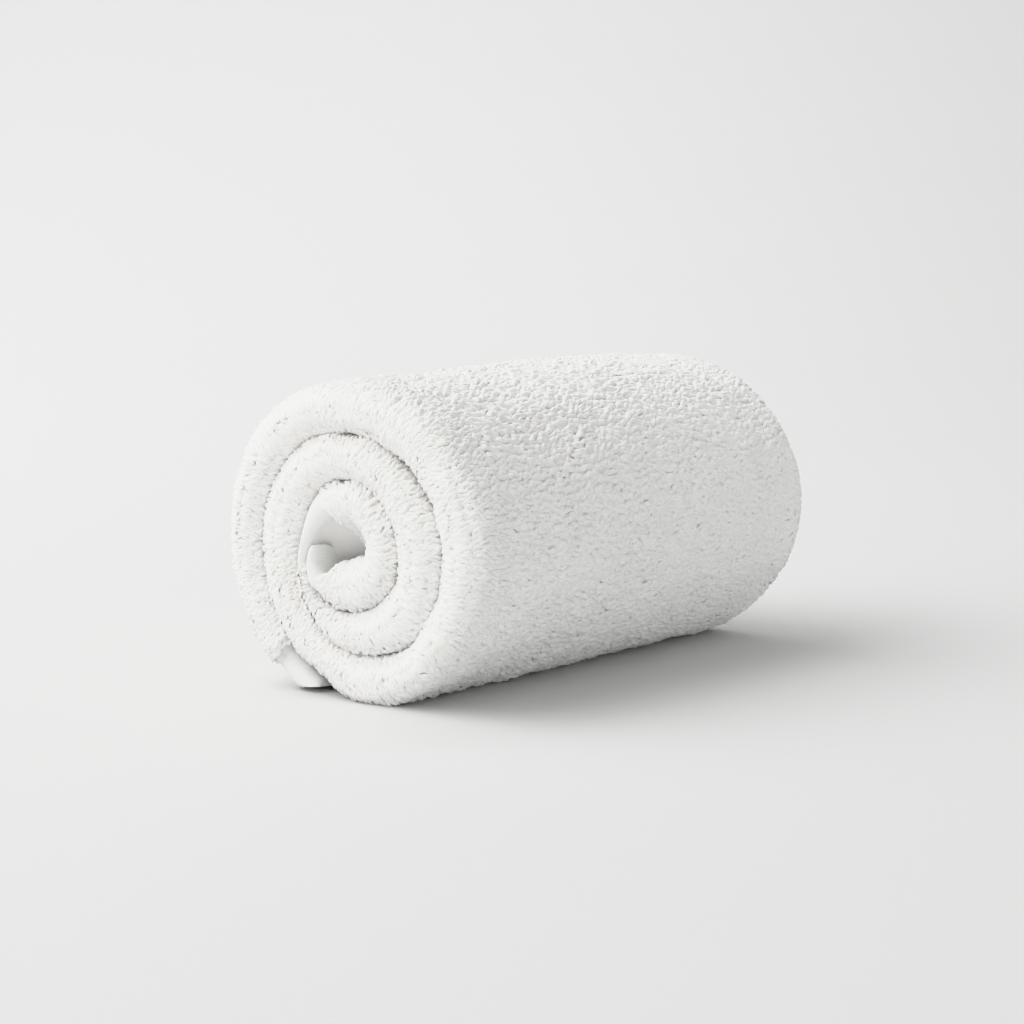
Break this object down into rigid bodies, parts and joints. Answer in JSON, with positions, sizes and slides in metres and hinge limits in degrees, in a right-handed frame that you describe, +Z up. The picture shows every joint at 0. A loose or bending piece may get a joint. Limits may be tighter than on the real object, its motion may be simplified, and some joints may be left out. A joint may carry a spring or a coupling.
{
  "type": "rolled hand towel",
  "caption": "Thick white cotton terry hand towel, folded in half along its length and rolled up from one end, lying on its side with the spiral of its fold showing at one end.",
  "frame": {"origin": "on the surface that the roll lies on, under the middle of the roll", "axes": "+Y along the roll, from the folded edge where the turns show (-Y) to the towel's two long edges (+Y); +Z up; the cloth winds clockwise inward as seen from the folded edge"},
  "size_m": [0.1179, 0.1999, 0.1096],
  "materials": {
    "white_terry": "matte looped cotton pile, with a smooth woven band and heading"
  },
  "bodies": {
    "root": {"rolled_towel": "white_terry"}
  },
  "joints": []
}
